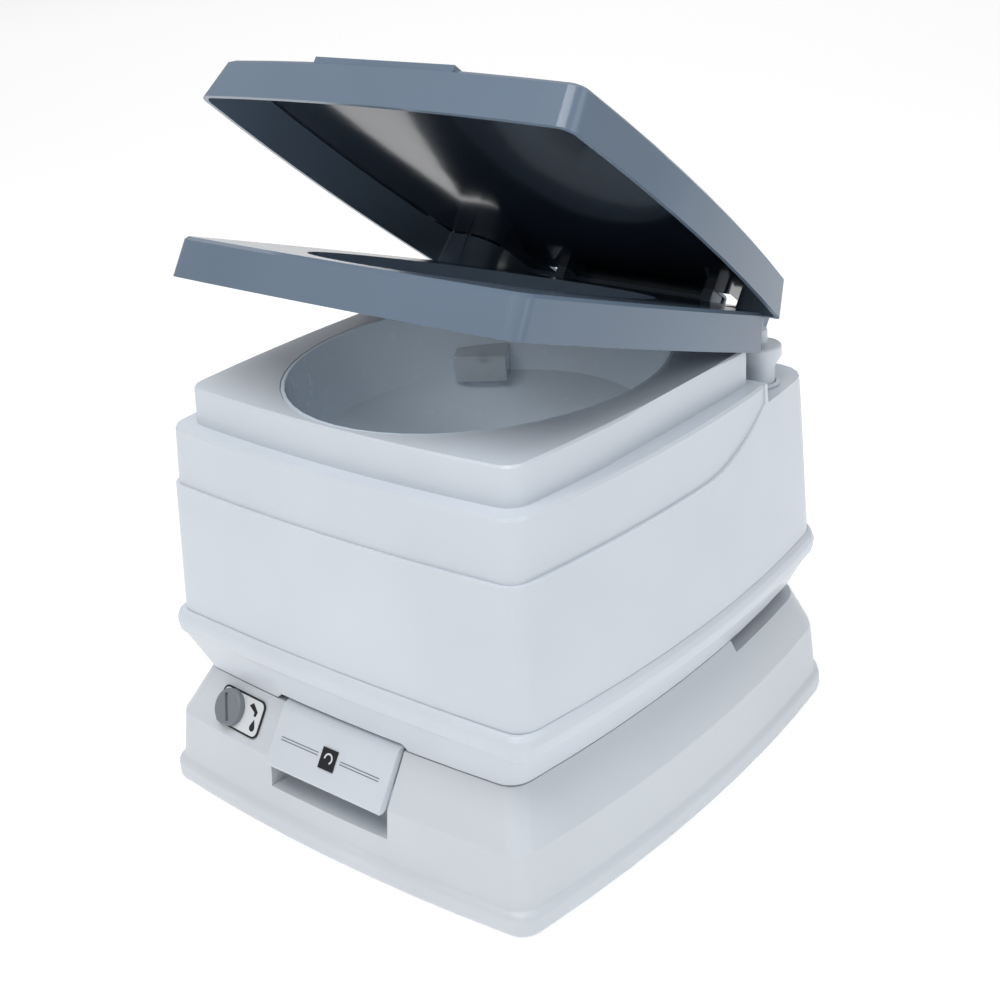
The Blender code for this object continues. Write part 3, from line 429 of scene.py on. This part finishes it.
def make_handle_print():
    """Two fine rules on either side of the badge, and a plain open ring on it."""
    face = plane_of("handle_badge", Vector((0, -0.82, 0.56)))
    for side, label in ((-1, "left"), (1, "right")):
        low, high = sorted(side * reach for reach in RULE_SPAN)
        for number, height in enumerate(RULE_HEIGHTS):
            top = height + RULE_WIDTH
            strip = [(low, height), (high, height), (high, top), (low, top)]
            plate("handle_rule_%s_%d" % (label, number), [strip], HANDLE_FACE, PRINT_THICK, face,
                  PRINT_GREY, "slide_valve", "black_print")
    mark = circle(0.2 * MM, 0.4 * MM, 3.6 * MM, 20, -60, 250)
    mark += circle(0.2 * MM, 0.4 * MM, 2.5 * MM, 20, -60, 250)[::-1]
    plate("badge_mark", [mark], 0, PRINT_THICK, face, PRINT_WHITE, "slide_valve", "black_print")


# ------------------------------------------------------------------ studio

def make_camera():
    """Camera in front of the right-hand corner, looking down and slightly rolled."""
    place = (0.6345, -0.7478, 0.6074)
    yaw, pitch, roll = 0.71263, 0.41933, -0.07110
    forward = Vector((-math.sin(yaw) * math.cos(pitch), math.cos(yaw) * math.cos(pitch),
                      -math.sin(pitch)))
    right = Vector((math.cos(yaw), math.sin(yaw), 0))
    up = right.cross(forward)
    rolled_right = right * math.cos(roll) + up * math.sin(roll)
    rolled_up = up * math.cos(roll) - right * math.sin(roll)
    data = bpy.data.cameras.new("studio_camera")
    data.lens = 56.37
    data.sensor_width = 36.0
    camera = bpy.data.objects.new("studio_camera", data)
    axes = Matrix((rolled_right, rolled_up, -forward)).transposed().to_4x4()
    camera.matrix_world = Matrix.Translation(place) @ axes
    bpy.context.scene.collection.objects.link(camera)
    bpy.context.scene.camera = camera


def area_light(name, place, aim, size, energy, colour):
    """Soft rectangular light at a place, turned towards its aim."""
    data = bpy.data.lights.new(name, 'AREA')
    data.shape = 'RECTANGLE'
    data.size, data.size_y = size
    data.energy = energy
    data.color = colour
    light = bpy.data.objects.new(name, data)
    light.location = place
    light.rotation_euler = (Vector(aim) - Vector(place)).to_track_quat('-Z', 'Y').to_euler()
    bpy.context.scene.collection.objects.link(light)


def make_studio():
    """Pale world, three soft lights, and a floor that glows enough to stay white."""
    world = bpy.data.worlds.new("studio_world")
    world.use_nodes = True
    background = world.node_tree.nodes["Background"]
    background.inputs["Color"].default_value = (1.0, 1.0, 1.0, 1)
    background.inputs["Strength"].default_value = 0.34
    bpy.context.scene.world = world
    bpy.context.scene.view_settings.view_transform = 'Standard'
    target = (0, 0, 0.2)
    area_light("sky_right", (1.5, 0.1, 1.3), target, (1.2, 1.2), 6, (0.86, 0.93, 1.0))
    area_light("top_soft", (0.1, -0.8, 1.9), target, (1.3, 1.3), 22, (0.98, 0.99, 1.0))
    area_light("far_floor", (-2.6, 3.2, 3.5), (-2.6, 3.2, 0), (6, 6), 70, (1.0, 1.0, 1.0))
    deselect_all()
    bpy.ops.mesh.primitive_plane_add(size=14, location=(0, 0, -0.0004))
    floor = bpy.context.object
    floor.name = "studio_floor"
    material = bpy.data.materials.new("floor_paper")
    material.use_nodes = True
    shader = material.node_tree.nodes["Principled BSDF"]
    shader.inputs["Base Color"].default_value = (0.80, 0.80, 0.80, 1)
    shader.inputs["Roughness"].default_value = 0.9
    shader.inputs["Emission Color"].default_value = (1, 1, 1, 1)
    shader.inputs["Emission Strength"].default_value = 0.46
    floor.data.materials.append(material)


# ------------------------------------------------------------------ build

make_waste_tank()
make_water_tank()
shell("water_tank_base", WHITE, 0.9 * MM, sharpness=10)
# the bowl's blue tint is a painted reflection
shell("bowl", BOWL_PAINTED_REFLECTION, 0.6 * MM, sharpness=30)
shell("seat", SLATE, 1.2 * MM, sharpness=20, segments=4)
make_lid()

# Node, finish and the radius of its edges in millimetres
SMALL = [
    ("pull_handle", WHITE, 0.5), ("vent_plug", GREY, 0.35), ("vent_decal", PRINT, 0.0),
    ("handle_badge", PRINT, 0.0), ("valve_frame", NATURAL, 0.5), ("valve_blade", NATURAL, 0.0),
    ("pour_spout", WHITE_TANK, 0.4), ("spout_collar", NATURAL, 0.4), ("spout_cap", GREY, 0.5),
    ("flush_deflector", CLEAR, 0.3), ("flush_tube", NATURAL, 0.0), ("pump_collar", WHITE, 0.5),
    ("pump_cylinder", NATURAL, 0.0), ("pump_knob", WHITE, 0.5), ("pump_rod", NATURAL, 0.0),
    ("pump_piston", NATURAL, 0.0), ("filler_neck", WHITE, 0.3), ("filler_cap", WHITE, 0.6),
    ("hinge_pin_left", NATURAL, 0.3), ("hinge_pin_right", NATURAL, 0.3),
    ("mouth_gasket", RUBBER, 0.0), ("valve_lip_seal", RUBBER, 0.4), ("vent_seal", RUBBER, 0.0),
    ("spout_seal", RUBBER, 0.0), ("spout_cap_seal", RUBBER, 0.0), ("filler_seal", RUBBER, 0.0),
    ("piston_ring", RUBBER, 0.0),
]
for node_name, finish, radius in SMALL:
    shell(node_name, finish, radius * MM, segments=2)

make_decal()
make_handle_print()
make_camera()
make_studio()
